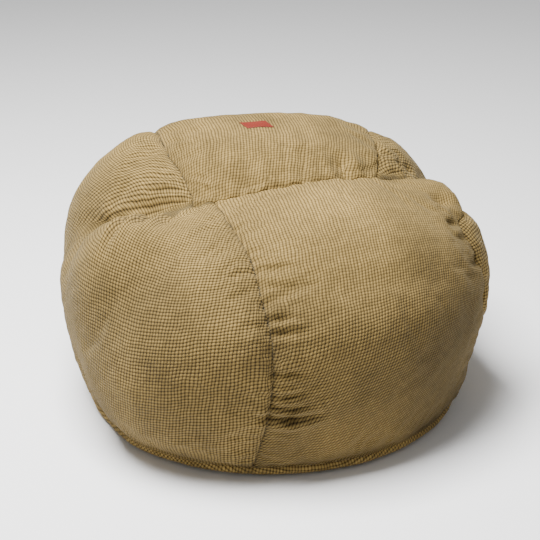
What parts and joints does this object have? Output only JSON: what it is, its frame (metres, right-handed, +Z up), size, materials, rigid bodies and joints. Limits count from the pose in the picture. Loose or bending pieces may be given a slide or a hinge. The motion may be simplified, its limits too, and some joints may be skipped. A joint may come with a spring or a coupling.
{
  "type": "bean bag chair",
  "caption": "Round foam-filled bean bag chair with a low seat lobe and a higher back lobe, in a zipped ribbed chenille cover over a zipped liner.",
  "frame": {"origin": "middle of the flat base on the floor, which is the bottom centre of the whole bag", "axes": "+Z up; the sitter faces -Y, with the low seat lobe in front at -Y and the high back lobe at +Y; +X is to the right seen from the front"},
  "size_m": [0.9499, 0.95, 0.594],
  "materials": {
    "cover_chenille": "ribbed chenille pile, matte with a soft sheen",
    "zip_tape": "woven polyester tape",
    "zip_coil": "matte nylon coil",
    "zip_metal": "satin antique finish",
    "liner_cloth": "matte woven polyester",
    "liner_zip_tape": "woven polyester tape",
    "liner_zip_coil": "matte nylon coil",
    "foam": "matte shredded foam",
    "label_red": "woven satin ribbon, satin",
    "label_white": "woven satin ribbon, satin"
  },
  "bodies": {
    "bag": {"front_centre_panel": "cover_chenille", "back_centre_panel": "cover_chenille", "left_side_panel": "cover_chenille", "right_side_panel": "cover_chenille", "base_panel": "cover_chenille", "zip_tape_upper": "zip_tape", "zip_tape_lower": "zip_tape", "zip_coil_upper": "zip_coil", "zip_coil_lower": "zip_coil", "zip_bottom_stop": "zip_metal", "zip_top_stop": "zip_metal", "liner_left_half": "liner_cloth", "liner_right_half": "liner_cloth", "liner_base": "liner_cloth", "liner_zip_tape_front": "liner_zip_tape", "liner_zip_tape_back": "liner_zip_tape", "liner_zip_coil_front": "liner_zip_coil", "liner_zip_coil_back": "liner_zip_coil", "liner_zip_stops": "zip_metal", "foam_fill": "foam", "red_label": "label_red", "care_label": "label_white"},
    "slider": {"zip_slider": "zip_metal"},
    "pull": {"zip_pull": "zip_metal"},
    "liner_slider": {"liner_zip_slider": "zip_metal"}
  },
  "joints": [
    {"name": "zip_slide", "type": "hinge", "parent": "bag", "child": "slider", "pos_m": [0, 0, 0.0345], "axis": [0, 0, 1], "range_deg": [0, 136.6]},
    {"name": "pull_swing", "type": "hinge", "parent": "slider", "child": "pull", "pos_m": [0.3982, 0.15846, 0.03245], "axis": [-0.3401, -0.1353, -0.9306], "range_deg": [0, 165]},
    {"name": "liner_zip_slide", "type": "slide", "parent": "bag", "child": "liner_slider", "axis": [1, 0, 0], "range_m": [0, 0.436]}
  ]
}
